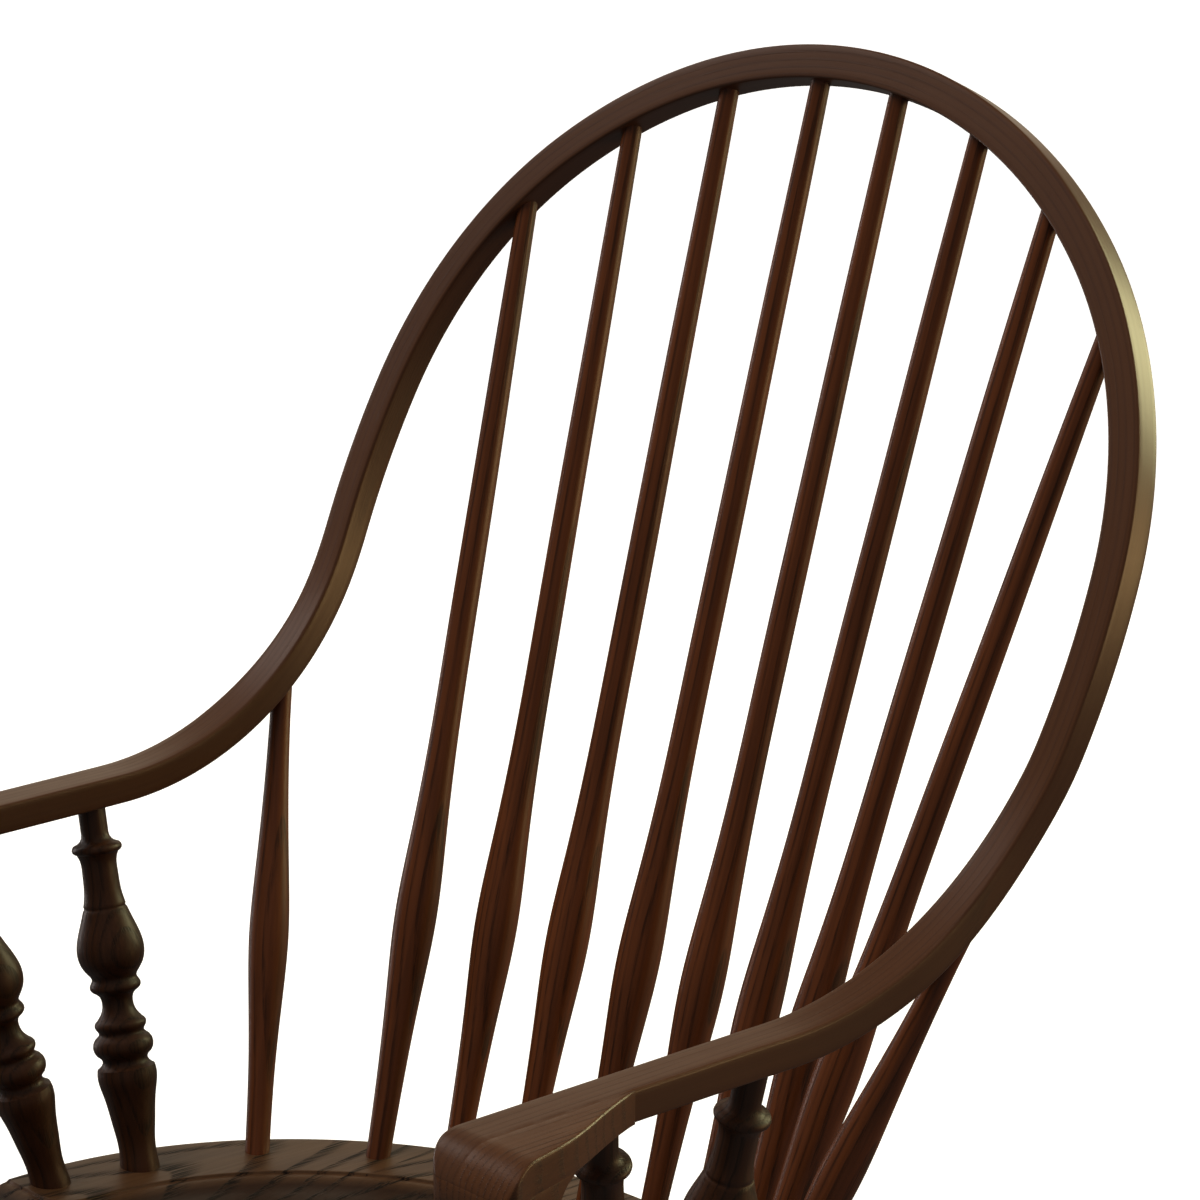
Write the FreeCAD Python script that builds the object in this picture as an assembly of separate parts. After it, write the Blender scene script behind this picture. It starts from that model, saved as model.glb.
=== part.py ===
import FreeCAD, Part
import math
import os
from FreeCAD import Vector

# A continuous-arm rocking chair, in millimetres.  The upper part is laid out in the
# seat's own frame: the flat deck that carries the spindles is z = 0, the chair faces
# -Y and +X is the sitter's left.  It is then tilted back and stood on its rockers.

# ---- stance -------------------------------------------------------------------------
SEAT_TILT = 2.4            # degrees the deck leans back when the chair is at rest
DECK_HEIGHT = 432.0        # floor to the deck, at the middle of the seat
BALANCE_Y = 15.3           # where the centre of gravity stands over the rockers

# ---- back and arms: one bent strip --------------------------------------------------
STRIP_T = 17.5             # thickness of the strip, front face to rear face
STRIP_W = 20.0             # width of its front face round the hoop
ARM_W = 24.5               # width of the same face along the arms
BACK_LEAN = 23.2           # degrees the hoop leans back from the deck's normal
ARM_FALL = 2.1             # degrees the arms drop towards the hands
BEND_R = 201.0             # radius where the back turns into the arms
BEND_Y = 121.0             # the middle of that bend, on the front face
BEND_Z = 264.0
CROWN_TOP = 438.0          # inner edge of the hoop above the bend, along the face
CROWN = (304.0, 41.8)      # inner edge of the hoop: radius and angle of each arc,
SHOULDER = (244.5, 42.2)   # from the top of the hoop down to the arm
FLANK = (495.0, 12.8)
WAIST_R = 2008.0           # the last arc turns back until the arm runs straight
WIDEN_FROM = 75.0          # the face widens from here, measured above the bend,
WIDEN_TO = -35.0           # to here, below it
ARM_START = -150.0         # where the straight arm begins, measured below the bend
STRIP_STEP = 24.0          # spacing of the strip's sections round the hoop

# ---- hands --------------------------------------------------------------------------
FLAT_END_Y = -184.0        # the flat top ends here and rolls over the nose
NOSE_R = 23.0              # radius of the roll at the front of the hand
HAND_T = 46.0              # full thickness of the hand with its lower block
HAND_FLARE = (             # outer side of the hand from above, forward of the arm's own width
    (296.5, -103.0), (304.5, -122.5), (315.0, -146.0), (322.0, -168.0), (326.5, -187.0))
FLARE_Y = -86.0            # the flare starts here
HAND_OUT = 330.5           # outer side of the hand at its widest
INNER_CORNER = 15.0        # corner radii of the hand seen from above
OUTER_CORNER = 7.0
BLOCK_LINE = (             # underside of the lower block: the seat's y, depth below the top
    (-150.0, 17.5), (-157.0, 22.0), (-165.0, 30.0), (-171.0, 38.0), (-176.0, 46.0))

# ---- seat ---------------------------------------------------------------------------
SEAT_T = 44.0              # thickness of the blank
SEAT_EDGE = 26.0           # height of the upright edge above the underside bevel
SEAT_BEVEL = 30.0          # how far the underside bevel runs in
SEAT_CY = -48.5            # middle of the round back edge
SEAT_A = 263.5             # half the seat's width
SEAT_B = 251.5             # from the middle of the round back edge to the rear
SEAT_FRONT = (             # half outline forward of the round part
    (258.5, -120.0), (241.0, -186.0), (205.0, -233.0), (150.0, -254.0), (0.0, -264.0))
DECK_A = 208.0             # inner edge of the raised deck
DECK_B = 198.0
DECK_END_Y = -74.0         # the deck stops here, ahead of the front arm posts
DECK_STEP = 2.0            # drop from the deck into the saddle
BOWL_DEPTH = 12.0          # further depth of the bowl
LEG_DEPTH = 7.0            # extra depth of the two thigh hollows at the front
FRONT_DEPTH = 8.0          # general drop of the front
POMMEL = 5.0               # height left on the ridge between the thighs
BOWL_RUN = 0.42            # the bowl reaches its depth in this part of its radius
THIGH_X = 112.0            # middle and spread of each thigh hollow, and the ridge's spread
THIGH_SPREAD = 58.0
RIDGE_SPREAD = 36.0
FRONT_FROM = -60.0         # the bowl turns into the front over this stretch of y
FRONT_RUN = 110.0

# ---- sticks: top half-width on the hoop, then the foot on the deck -------------------
LONG_SPINDLES = (
    (31.2, (25.8, 171.6)), (100.0, (75.0, 162.8)), (167.5, (119.9, 149.6)), (233.2, (158.5, 122.2)))
HEAD_DEPTH = 10.0          # the long spindles meet the hoop this far behind its front face
SHORT_TOP_T = 16.0         # the short spindle meets the strip here, above the bend
SHORT_FOOT = (207.7, 69.5)
REAR_POST = (-1.5, (231.2, 0.1))       # top's Y on the arm, then the foot on the deck
FRONT_POST = (-102.6, (241.7, -56.9))
SPINDLE_TENON = 13.0       # depth in the hoop
POST_TENON = 12.0          # depth in the arm
FOOT_TENON = 20.0          # depth in the deck
FIT = 0.12                 # glue gap round every tenon

# ---- legs, stretchers and rockers ---------------------------------------------------
LEG_TENON_R = 12.5         # also the last radius of the leg's profile
LEG_TENON = 22.0
FRONT_LEG_TOP = (176.0, -166.0)        # on the seat's underside
REAR_LEG_TOP = (142.0, 94.0)
ROCKER_X = 230.0           # middle plane of each rocker
FRONT_LEG_Y = -206.0       # where the legs stand on the rockers
REAR_LEG_Y = 172.0
ROCKER_R = 1050.0          # radius of the running edge
ROCKER_H = 42.0            # height of the rocker
ROCKER_T = 26.0            # thickness of the rocker
ROCKER_FORE = 340.0        # length ahead of the balance point
ROCKER_AFT = 440.0         # length behind it
SHOE_TENON_R = 8.0         # tenon from the leg into the rocker
SHOE_TENON = 27.0
TIP_BULGE = 0.46           # roundness of the rocker's tips, as a part of its height
COPE = 6.0                 # stock below the rocker's top edge, coped away
PEG_R = 3.0                # peg through rocker and tenon
PEG_DROP = 15.0            # below the rocker's top edge
PIN_R = 1.6                # pin through the arm into the post
PIN_LENGTH = 19.0
SIDE_STRETCHER = 0.29      # height on the legs, as a part of their length
STRETCHER_TENON = 15.0
STRETCHER_END_R = 7.0
SIDE_BURY = 1.5            # how far the stretchers' shoulders sink into what they meet
CROSS_BURY = 0.8

# ---- turned profiles ----------------------------------------------------------------
# Each list holds runs of (part of the length, diameter).  A run is a smooth curve and
# the edge between two runs is sharp.  The long spindles swell at one height above the
# deck, so theirs starts with (distance from the foot, diameter) and goes on with
# (part of the rest, diameter).
LONG_SWELL = ((0.0, 14.6), (46.0, 16.6), (95.0, 20.8), (144.0, 25.3), (194.0, 21.4), (244.0, 17.4))
LONG_TAPER = ((0.22, 15.9), (0.47, 14.9), (0.74, 13.4), (1.0, 11.5))
SHORT_PROFILE = (((0.0, 14.4), (0.2, 16.4), (0.33, 20.6), (0.46, 23.6), (0.59, 20.4),
                  (0.73, 15.8), (0.84, 13.4), (0.92, 12.4)),
                 ((0.92, 12.4), (1.0, 12.4)))
POST_PROFILE = (
    ((0.0, 23.2), (0.055, 22.0), (0.12, 25.4), (0.2, 31.0), (0.26, 35.0), (0.275, 34.0)),
    ((0.275, 34.0), (0.284, 29.0), (0.297, 26.6), (0.306, 28.6)),
    ((0.306, 28.6), (0.314, 32.6), (0.338, 35.8), (0.357, 32.6), (0.365, 28.6)),
    ((0.365, 28.6), (0.371, 26.8), (0.38, 28.0)),
    ((0.38, 28.0), (0.388, 30.2), (0.4, 30.2), (0.408, 27.0)),
    ((0.408, 27.0), (0.43, 20.4), (0.453, 18.4), (0.476, 20.8), (0.487, 27.0)),
    ((0.487, 27.0), (0.494, 29.8), (0.505, 30.0), (0.514, 28.0)),
    ((0.514, 28.0), (0.522, 26.6), (0.532, 28.2)),
    ((0.532, 28.2), (0.56, 36.4), (0.604, 39.8), (0.645, 36.2), (0.69, 29.4), (0.711, 26.4)),
    ((0.711, 26.4), (0.717, 24.6), (0.723, 25.2)),
    ((0.723, 25.2), (0.755, 22.4), (0.811, 21.2), (0.855, 22.8), (0.866, 25.0)),
    ((0.866, 25.0), (0.871, 28.6), (0.881, 29.8), (0.89, 27.6)),
    ((0.89, 27.6), (0.899, 20.0), (0.912, 16.8), (0.93, 16.4)),
    ((0.93, 16.4), (1.0, 16.4)))
LEG_PROFILE = (
    ((0.0, 23.0), (0.06, 23.6), (0.14, 27.4), (0.23, 35.4), (0.3, 41.0), (0.335, 41.4)),
    ((0.335, 41.4), (0.344, 35.0), (0.352, 32.0), (0.36, 34.6)),
    ((0.36, 34.6), (0.367, 39.2), (0.382, 42.4), (0.397, 39.2), (0.404, 34.6)),
    ((0.404, 34.6), (0.41, 32.6), (0.418, 34.2)),
    ((0.418, 34.2), (0.425, 37.2), (0.434, 37.2), (0.441, 34.0)),
    ((0.441, 34.0), (0.46, 26.6), (0.478, 24.6), (0.496, 26.8), (0.508, 34.0)),
    ((0.508, 34.0), (0.514, 37.0), (0.523, 37.2), (0.53, 34.8)),
    ((0.53, 34.8), (0.537, 32.8), (0.546, 35.0)),
    ((0.546, 35.0), (0.575, 43.6), (0.612, 47.0), (0.655, 43.4), (0.71, 35.0), (0.728, 32.6)),
    ((0.728, 32.6), (0.733, 31.0), (0.738, 31.6)),
    ((0.738, 31.6), (0.79, 27.4), (0.86, 26.6), (0.915, 28.8), (0.925, 31.0)),
    ((0.925, 31.0), (0.931, 34.6), (0.941, 35.8), (0.951, 33.0)),
    ((0.951, 33.0), (0.962, 26.4), (0.972, 25.0)),
    ((0.972, 25.0), (1.0, 25.0)))
STRETCHER_PROFILE = (
    ((0.0, 14.0), (0.1, 15.6), (0.25, 20.4), (0.36, 25.0), (0.385, 25.6)),
    ((0.385, 25.6), (0.392, 22.4), (0.401, 24.0)),
    ((0.401, 24.0), (0.45, 31.6), (0.5, 34.0), (0.55, 31.6), (0.599, 24.0)),
    ((0.599, 24.0), (0.608, 22.4), (0.615, 25.6)),
    ((0.615, 25.6), (0.64, 25.0), (0.75, 20.4), (0.9, 15.6), (1.0, 14.0)))


# ---- helpers ------------------------------------------------------------------------
def curve(points):
    """A line through two points or a smooth curve through more."""
    if len(points) == 2:
        return Part.makeLine(points[0], points[1])
    spline = Part.BSplineCurve()
    spline.interpolate(points)
    return spline.toShape()


def tangent_curve(points, start, end):
    """A smooth curve with given directions at its ends."""
    spline = Part.BSplineCurve()
    spline.interpolate(points, InitialTangent=start, FinalTangent=end.normalize())
    return spline.toShape()


def prism(edges, height):
    return Part.Face(Part.Wire(edges)).extrude(height)


def upright(points, low, high):
    """A closed polygon in plan, raised from low to high."""
    ring = [Vector(x, y, low) for x, y in points]
    ring.append(ring[0])
    return Part.Face(Part.makePolygon(ring)).extrude(Vector(0, 0, high - low))


def mirrored(shape):
    return shape.mirror(Vector(0, 0, 0), Vector(1, 0, 0))


def unit(start, end):
    direction = end - start
    return direction.normalize()


def drill(mouth, along, radius, depth):
    """The tool for a socket: it starts a little outside the mouth."""
    lead = 6.0
    return Part.makeCylinder(radius + FIT, depth + lead, mouth - along * lead, along)


def turned(runs, foot, head, foot_tenon, head_tenon):
    """A stick turned about the line from foot to head, with a round tenon at each end."""
    length = foot.distanceToPoint(head)
    foot_r = runs[0][0][1] / 2
    head_r = runs[-1][-1][1] / 2
    low = [Vector(0, 0, -foot_tenon), Vector(foot_r, 0, -foot_tenon), Vector(foot_r, 0, 0)]
    high = [Vector(head_r, 0, length), Vector(head_r, 0, length + head_tenon),
            Vector(0, 0, length + head_tenon), low[0]]
    edges = [Part.makeLine(a, b) for a, b in zip(low, low[1:])]
    edges += [curve([Vector(d / 2, 0, part * length) for part, d in run]) for run in runs]
    edges += [Part.makeLine(a, b) for a, b in zip(high, high[1:])]
    solid = Part.Face(Part.Wire(edges)).revolve(Vector(0, 0, 0), Vector(0, 0, 1), 360)
    turn = FreeCAD.Rotation(Vector(0, 0, 1), head - foot)
    return solid.transformed(FreeCAD.Placement(foot, turn).toMatrix(), copy=True)


# ---- the sheet that the bent strip lies on ------------------------------------------
def side_line(t):
    """Point and direction of the strip's front face, seen from the side.

    t is the distance along the face, 0 at the middle of the bend, positive up the back.
    """
    high = math.radians(90 - BACK_LEAN)
    low = math.radians(ARM_FALL)
    half = BEND_R * (high - low) / 2
    turn = low + (min(max(t, -half), half) + half) / BEND_R
    middle = (high + low) / 2
    y = BEND_Y + BEND_R * (math.sin(turn) - math.sin(middle))
    z = BEND_Z - BEND_R * (math.cos(turn) - math.cos(middle))
    beyond = t - min(max(t, -half), half)
    return y + beyond * math.cos(turn), z + beyond * math.sin(turn), turn


def on_sheet(x, t, depth=0.0):
    """A point on the front face, or behind it by depth."""
    y, z, turn = side_line(t)
    return Vector(x, y + depth * math.sin(turn), z - depth * math.cos(turn))


def bend_end():
    """Distance from the middle of the bend to where the arm runs straight."""
    return BEND_R * math.radians(90 - BACK_LEAN - ARM_FALL) / 2


def inner_edge():
    """Stations down one side of the hoop's inner edge: (x, t, heading in degrees)."""
    stations = []
    x, t, last = 0.0, CROWN_TOP, 0.0
    arcs = (CROWN, SHOULDER, FLANK, (-WAIST_R, 90.0 - CROWN[1] - SHOULDER[1] - FLANK[1]))
    for radius, angle in arcs:
        steps = max(4, round(abs(math.radians(angle) * radius) / STRIP_STEP))
        for k in range(steps):
            stations.append((x, t, last))
            turned_to = last + angle / steps
            x += radius * (math.sin(math.radians(turned_to)) - math.sin(math.radians(last)))
            t += radius * (math.cos(math.radians(turned_to)) - math.cos(math.radians(last)))
            last = turned_to
    stations.append((x, t, 90.0))
    return stations


def face_width(t):
    """Width of the front face, wider along the arms."""
    part = min(max((WIDEN_FROM - t) / (WIDEN_FROM - WIDEN_TO), 0.0), 1.0)
    return STRIP_W + (ARM_W - STRIP_W) * part * part * (3 - 2 * part)


def inner_at(x):
    """Height on the sheet where the upper half of the inner edge is x from the middle."""
    stations = inner_edge()
    for (xa, ta, _), (xb, tb, _) in zip(stations, stations[1:]):
        if xa <= x <= xb:
            return ta + (tb - ta) * (x - xa) / (xb - xa)
    raise ValueError(x)


def strip_section(x, t, heading, side):
    """The strip's rectangular section, square to its inner edge."""
    out = (math.sin(math.radians(heading)), math.cos(math.radians(heading)))
    width = face_width(t)
    far_x = x + width * out[0]
    far_t = t + width * out[1]
    ring = [on_sheet(side * x, t), on_sheet(side * far_x, far_t),
            on_sheet(side * far_x, far_t, STRIP_T), on_sheet(side * x, t, STRIP_T)]
    ring.append(ring[0])
    return Part.makePolygon(ring)


def hoop():
    """The bent part of the strip, from one straight arm round to the other."""
    stations = [s for s in inner_edge() if s[1] > ARM_START]
    stations.append((stations[-1][0], ARM_START, 90.0))
    left = [strip_section(x, t, heading, 1) for x, t, heading in stations]
    right = [strip_section(x, t, heading, -1) for x, t, heading in stations[:0:-1]]
    return Part.makeLoft(right + left, True, False)


def arm_inner_x():
    return inner_edge()[-1][0]


# ---- hand ---------------------------------------------------------------------------
def arm_frame():
    """Placement of the left arm's top face: +Y along it to the rear, +Z out of it."""
    return FreeCAD.Placement(on_sheet(0, ARM_START), FreeCAD.Rotation(Vector(1, 0, 0), ARM_FALL))


def along_arm(y):
    """Distance along the arm's top face of a point at the seat's y."""
    start = on_sheet(0, ARM_START)
    return (y - start.y) / math.cos(math.radians(ARM_FALL))


def hand_blank():
    """The whole left arm and hand in the arm's frame, before it is split into pieces."""
    inner = arm_inner_x()
    outer = inner + ARM_W
    nose = along_arm(FLAT_END_Y) - NOSE_R
    flare_start = Vector(outer, along_arm(FLARE_Y), 0)
    flare_end = Vector(HAND_OUT, nose + OUTER_CORNER, 0)
    flare = [Vector(x, along_arm(y), 0) for x, y in HAND_FLARE]
    edges = [
        Part.makeLine(Vector(inner, 0, 0), Vector(outer, 0, 0)),
        Part.makeLine(Vector(outer, 0, 0), flare_start),
        tangent_curve([flare_start] + flare + [flare_end], Vector(0, -1, 0), flare_end - flare[-1]),
        corner(flare_end, Vector(HAND_OUT - OUTER_CORNER, nose, 0)),
        Part.makeLine(Vector(HAND_OUT - OUTER_CORNER, nose, 0), Vector(inner + INNER_CORNER, nose, 0)),
        corner(Vector(inner, nose + INNER_CORNER, 0), Vector(inner + INNER_CORNER, nose, 0)),
        Part.makeLine(Vector(inner, nose + INNER_CORNER, 0), Vector(inner, 0, 0))]
    plan = prism(edges, Vector(0, 0, -2 * HAND_T)).translate(Vector(0, 0, HAND_T / 2))
    return plan.common(hand_side())


def corner(side, front):
    """A quarter round from a point on a side of the hand to one on its front."""
    share = 1 - math.sin(math.radians(45))
    middle = Vector(side.x + (front.x - side.x) * share, front.y + (side.y - front.y) * share, 0)
    return Part.Arc(side, middle, front).toShape()


def hand_side():
    """The hand seen from the side, as a prism right across it."""
    flat = along_arm(FLAT_END_Y)
    inset = math.cos(math.radians(45)) * NOSE_R
    line = [Vector(0, along_arm(y), -depth) for y, depth in BLOCK_LINE]
    top = [Vector(0, 0, 0), Vector(0, flat, 0)]
    tip = Vector(0, flat - NOSE_R, -NOSE_R)
    under = Vector(0, flat, -HAND_T)
    back = Vector(0, 0, -STRIP_T)
    edges = [
        Part.makeLine(top[0], top[1]),
        Part.Arc(top[1], Vector(0, flat - inset, inset - NOSE_R), tip).toShape(),
        Part.Arc(tip, Vector(0, flat - inset, -NOSE_R - inset), under).toShape(),
        Part.makeLine(under, line[-1]),
        curve(line[::-1]),
        Part.makeLine(line[0], back),
        Part.makeLine(back, top[0])]
    return prism(edges, Vector(2 * HAND_OUT, 0, 0))


def hand_pieces():
    """The straight arm of the strip, the outer cheek and the lower block, left side."""
    blank = hand_blank()
    beyond = 10.0
    reach = along_arm(FLAT_END_Y) - NOSE_R - beyond
    length = beyond - reach
    glue = arm_inner_x() + ARM_W
    below = Part.makeBox(2 * HAND_OUT, length, HAND_T, Vector(0, reach, -STRIP_T - HAND_T))
    beside = Part.makeBox(HAND_OUT, length, HAND_T, Vector(glue, reach, -STRIP_T))
    top = blank.cut(below)
    block = blank.common(below)
    arm = top.cut(beside)
    cheek = top.common(beside)
    matrix = arm_frame().toMatrix()
    return [piece.transformed(matrix, copy=True) for piece in (arm, cheek, block)]


# ---- seat ---------------------------------------------------------------------------
def seat_outline(inset, z):
    """Outline of the seat moved in by inset: the round back, then the two sides of the front."""
    a = SEAT_A - inset
    b = SEAT_B - inset
    front_depth = SEAT_CY - SEAT_FRONT[-1][1]
    scale_x = a / SEAT_A
    scale_y = (front_depth - inset) / front_depth
    ellipse = Part.Ellipse(Vector(0, SEAT_CY, z), a, b)
    rear = Part.ArcOfEllipse(ellipse, 0, math.pi).toShape()
    points = [Vector(a, SEAT_CY, z)]
    points += [Vector(x * scale_x, SEAT_CY + (y - SEAT_CY) * scale_y, z) for x, y in SEAT_FRONT]
    left = tangent_curve(points, Vector(0, -1, 0), Vector(-1, 0, 0))
    return [rear, left, mirrored(left)]


def smooth(value):
    value = min(max(value, 0.0), 1.0)
    return value * value * (3 - 2 * value)


def saddle_z(x, y):
    """Height of the carved saddle."""
    ahead = max(y - SEAT_CY, 0.0)
    ring = math.hypot(x / DECK_A, ahead / DECK_B)
    bowl = DECK_STEP + BOWL_DEPTH * smooth((1 - ring) / BOWL_RUN)
    thighs = LEG_DEPTH * math.exp(-((abs(x) - THIGH_X) / THIGH_SPREAD) ** 2)
    ridge = POMMEL * math.exp(-(x / RIDGE_SPREAD) ** 2)
    front = DECK_STEP + FRONT_DEPTH + thighs - ridge
    mix = smooth((FRONT_FROM - y) / FRONT_RUN)
    return -(bowl + (front - bowl) * mix)


def saddle_tool():
    """Everything above the saddle, kept off the raised deck."""
    pitch = 26.0
    reach = 11
    across = [pitch * k for k in range(-reach, reach + 1)]
    along = [SEAT_CY + pitch * k for k in range(-reach, reach)]
    grid = [[Vector(x, y, saddle_z(x, y)) for y in along] for x in across]
    surface = Part.BSplineSurface()
    surface.interpolate(grid)
    above = surface.toShape().extrude(Vector(0, 0, SEAT_T))
    ellipse = Part.Ellipse(Vector(0, SEAT_CY, 0), DECK_A, DECK_B).toShape()
    inside = prism([ellipse], Vector(0, 0, 2 * SEAT_T)).translate(Vector(0, 0, -SEAT_T))
    corner_point = Vector(-SEAT_A - pitch, DECK_END_Y - SEAT_B, -SEAT_T)
    front = Part.makeBox(2 * (SEAT_A + pitch), SEAT_B, 2 * SEAT_T, corner_point)
    return above.common(inside.fuse(front))


def seat_blank():
    """The seat with its upright edge, its bevel below and the saddle carved out."""
    top = seat_outline(0, 0)
    edge = seat_outline(0, -SEAT_EDGE)
    bottom = seat_outline(SEAT_BEVEL, -SEAT_T)
    faces = [Part.Face(Part.Wire(Part.sortEdges(ring)[0])) for ring in (top, bottom)]
    for upper, lower in ((top, edge), (edge, bottom)):
        faces += [Part.makeRuledSurface(a, b) for a, b in zip(upper, lower)]
    shell = Part.makeShell(faces)
    shell.sewShape()
    blank = Part.makeSolid(shell)
    if blank.Volume < 0:
        blank.reverse()
    return blank.cut(saddle_tool())


# ---- where the sticks go ------------------------------------------------------------
def on_deck(point):
    return Vector(point[0], point[1], 0)


def long_spindle_line(index):
    """Foot on the deck and head on the hoop's inner face, left side."""
    top_x, foot = LONG_SPINDLES[index]
    return on_deck(foot), on_sheet(top_x, inner_at(top_x), HEAD_DEPTH)


def long_profile(line):
    """The profile of a long spindle, with its swell at the common height."""
    length = line[0].distanceToPoint(line[1])
    swell_end = LONG_SWELL[-1][0]
    run = [(reach / length, d) for reach, d in LONG_SWELL]
    run += [((swell_end + part * (length - swell_end)) / length, d) for part, d in LONG_TAPER]
    return (run,)


def strip_middle(t):
    """Middle of the strip's rear face at t, left side."""
    stations = inner_edge()
    x = stations[-1][0]
    for (xa, ta, _), (xb, tb, _) in zip(stations, stations[1:]):
        if tb <= t <= ta:
            x = xa + (xb - xa) * (t - ta) / (tb - ta)
    return on_sheet(x + face_width(t) / 2, t, STRIP_T)


def short_spindle_line():
    return on_deck(SHORT_FOOT), strip_middle(SHORT_TOP_T)


def post_line(post):
    """Foot on the deck and head on the arm's underside."""
    top_y, foot = post
    end = -bend_end()
    y, _, turn = side_line(end)
    t = end + (top_y - y) / math.cos(turn)
    return on_deck(foot), strip_middle(t)


def stood(point):
    """A point of the seat's frame, stood on the floor."""
    tilt = math.radians(SEAT_TILT)
    y = point.y * math.cos(tilt) + point.z * math.sin(tilt)
    z = -point.y * math.sin(tilt) + point.z * math.cos(tilt)
    return Vector(point.x, y, z + DECK_HEIGHT)


def stand(shape):
    """A solid of the seat's frame, stood on the floor."""
    turn = FreeCAD.Rotation(Vector(1, 0, 0), -SEAT_TILT)
    return shape.transformed(FreeCAD.Placement(Vector(0, 0, DECK_HEIGHT), turn).toMatrix(), copy=True)


# ---- under the seat -----------------------------------------------------------------
def rocker_top(y):
    """Height of the rocker's top edge."""
    radius = ROCKER_R - ROCKER_H
    return ROCKER_R - math.sqrt(radius ** 2 - (y - BALANCE_Y) ** 2)


def rocker_point(radius, reach):
    """A point at radius from the rocking centre, reach ahead of or behind the balance."""
    return Vector(0, BALANCE_Y + reach, ROCKER_R - math.sqrt(radius ** 2 - reach ** 2))


def rocker_blank():
    """The left rocker: a curved board with rounded tips."""
    top_r = ROCKER_R - ROCKER_H
    middle_r = ROCKER_R - ROCKER_H / 2
    inner_share = top_r / ROCKER_R
    low = [rocker_point(ROCKER_R, reach) for reach in (-ROCKER_FORE, 0, ROCKER_AFT)]
    high = [rocker_point(top_r, reach * inner_share) for reach in (ROCKER_AFT, 0, -ROCKER_FORE)]
    bulge = ROCKER_H * TIP_BULGE
    rear_tip = rocker_point(middle_r, ROCKER_AFT * middle_r / ROCKER_R + bulge)
    front_tip = rocker_point(middle_r, -ROCKER_FORE * middle_r / ROCKER_R - bulge)
    edges = [
        Part.Arc(*low).toShape(),
        Part.Arc(low[2], rear_tip, high[0]).toShape(),
        Part.Arc(*high).toShape(),
        Part.Arc(high[2], front_tip, low[0]).toShape()]
    board = prism(edges, Vector(ROCKER_T, 0, 0))
    return board.translate(Vector(ROCKER_X - ROCKER_T / 2, 0, 0))


def leg_line(top, foot_y):
    """Foot on the rocker's top edge and head on the seat's underside, left side."""
    head = stood(Vector(top[0], top[1], -SEAT_T))
    return Vector(ROCKER_X, foot_y, rocker_top(foot_y)), head


def leg_and_cuts(top, foot_y, rocker):
    """A left leg coped onto the rocker, with the tools for its two sockets."""
    foot, head = leg_line(top, foot_y)
    along = unit(foot, head)
    body = turned(LEG_PROFILE, foot, head, COPE, LEG_TENON)
    root = 10.0
    shoe = Part.makeCylinder(SHOE_TENON_R, SHOE_TENON + root, foot + along * root, along * -1)
    leg = body.cut(rocker).fuse(shoe).removeSplitter()
    seat_tool = drill(head, along, LEG_TENON_R, LEG_TENON)
    rocker_tool = drill(foot, along * -1, SHOE_TENON_R, SHOE_TENON)
    return leg, seat_tool, rocker_tool


def peg_for(foot_y):
    """A peg across the left rocker, through a leg's tenon."""
    z = rocker_top(foot_y) - PEG_DROP
    start = Vector(ROCKER_X - ROCKER_T / 2, foot_y, z)
    return Part.makeCylinder(PEG_R, ROCKER_T, start, Vector(1, 0, 0))


def peg_hole(foot_y):
    z = rocker_top(foot_y) - PEG_DROP
    start = Vector(ROCKER_X - ROCKER_T, foot_y, z)
    return Part.makeCylinder(PEG_R + FIT, 2 * ROCKER_T, start, Vector(1, 0, 0))


def point_on(line, part):
    start, end = line
    return start + (end - start) * part


def stretcher(start, end, surface_r_start, surface_r_end, profile):
    """A stretcher between two axes, stopping at each turned surface with a tenon inside."""
    along = unit(start, end)
    foot = start + along * surface_r_start
    head = end - along * surface_r_end
    stick = turned(profile, foot, head, STRETCHER_TENON, STRETCHER_TENON)
    tools = (drill(foot, along * -1, STRETCHER_END_R, STRETCHER_TENON),
             drill(head, along, STRETCHER_END_R, STRETCHER_TENON))
    return stick, tools


def profile_radius(runs, part):
    """Radius of a turned profile at a part of its length."""
    points = [point for run in runs for point in run]
    for (pa, da), (pb, db) in zip(points, points[1:]):
        if pa <= part <= pb and pb > pa:
            return (da + (db - da) * (part - pa) / (pb - pa)) / 2
    return points[-1][1] / 2


# ---- assembly -----------------------------------------------------------------------
def pin_for(line):
    """A pin from the arm's inner side into the head of an arm post, left side."""
    foot, head = line
    along = unit(foot, head)
    middle = head + along * (POST_TENON / 2)
    start = Vector(arm_inner_x_at(middle.y), middle.y, middle.z)
    return Part.makeCylinder(PIN_R, PIN_LENGTH, start, Vector(1, 0, 0))


def arm_inner_x_at(y):
    """Inner side of the arm at the seat's y."""
    stations = inner_edge()
    for (xa, ta, _), (xb, tb, _) in zip(stations, stations[1:]):
        ya = side_line(ta)[0]
        yb = side_line(tb)[0]
        if yb <= y <= ya:
            return xa + (xb - xa) * (y - ya) / (yb - ya)
    return stations[-1][0]


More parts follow.
